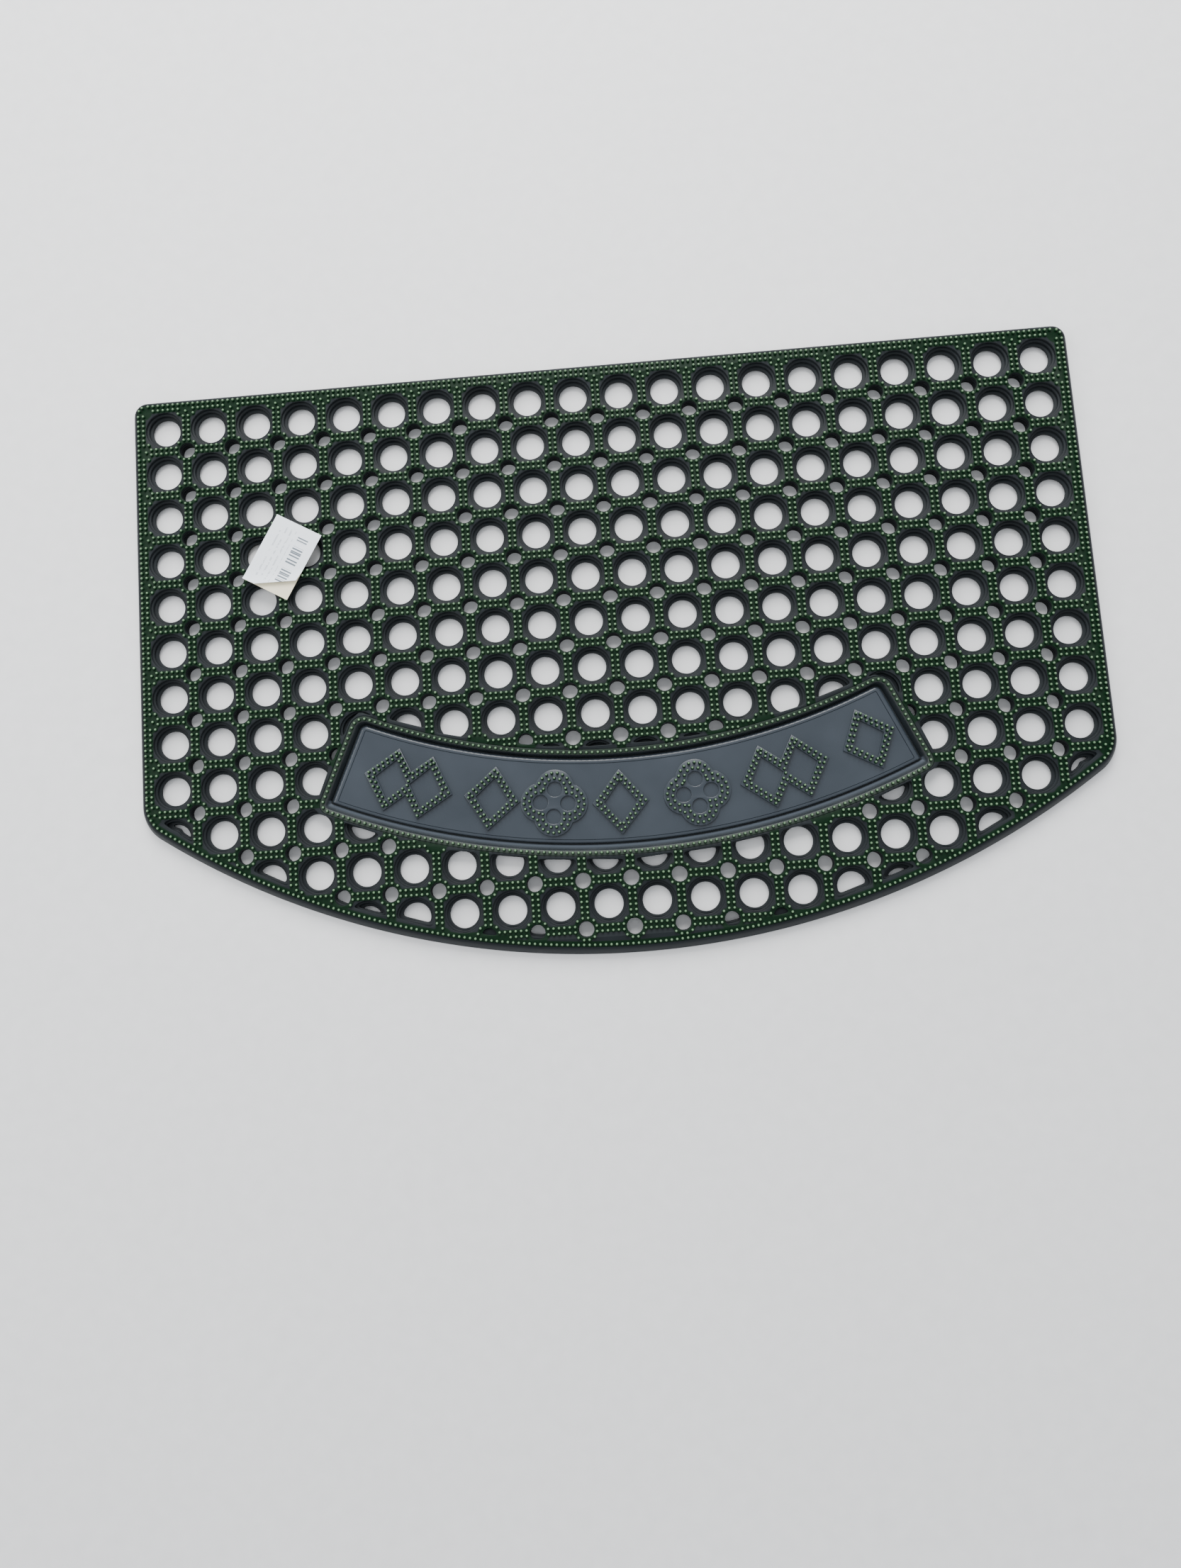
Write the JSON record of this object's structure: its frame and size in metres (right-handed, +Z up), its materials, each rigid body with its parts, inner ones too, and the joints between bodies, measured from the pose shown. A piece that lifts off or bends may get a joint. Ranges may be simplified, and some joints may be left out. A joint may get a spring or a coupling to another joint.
{
  "type": "door mat",
  "caption": "Half-round hollow rubber door mat with open round cells, green-tipped scraper pins and a curved banner of studded ornaments near the front.",
  "frame": {"origin": "centre of the mat's footprint, on the floor it lies on", "axes": "+X along the straight back edge, +Y towards the straight back edge (the side by the door), +Z up"},
  "size_m": [0.75, 0.4679, 0.0128],
  "materials": {
    "black_rubber": "matte moulded rubber",
    "satin_panel": "smooth satin rubber",
    "green_pins": "soft matte rubber",
    "label_paper": "smooth coated paper",
    "label_backing": "dull paper"
  },
  "bodies": {
    "root": {"edge_skirt_back": "black_rubber", "edge_skirt_front": "black_rubber", "edge_skirt_left": "black_rubber", "edge_skirt_right": "black_rubber", "web_top_lattice": "black_rubber", "cup_ledge_layer": "black_rubber", "drain_ring_layer": "black_rubber", "border_foot_wall": "black_rubber", "drain_foot_sleeves": "black_rubber", "banner_foot_studs": "black_rubber", "banner_tray_floor": "black_rubber", "banner_border": "black_rubber", "banner_panel": "satin_panel", "ornament_plateau_1": "satin_panel", "pins_ornament_1": "green_pins", "ornament_plateau_2": "satin_panel", "pins_ornament_2": "green_pins", "ornament_plateau_3": "satin_panel", "pins_ornament_3": "green_pins", "ornament_plateau_4": "satin_panel", "pins_ornament_4": "green_pins", "ornament_plateau_5": "satin_panel", "pins_ornament_5": "green_pins", "ornament_plateau_6": "satin_panel", "pins_ornament_6": "green_pins", "ornament_plateau_7": "satin_panel", "pins_ornament_7": "green_pins", "pins_border_back": "green_pins", "pins_border_left": "green_pins", "pins_border_right": "green_pins", "pins_border_front": "green_pins", "pins_web_rows": "green_pins", "pins_web_columns": "green_pins", "pins_banner_border": "green_pins", "label_backing": "label_backing", "label_paper": "label_paper"}
  },
  "joints": []
}
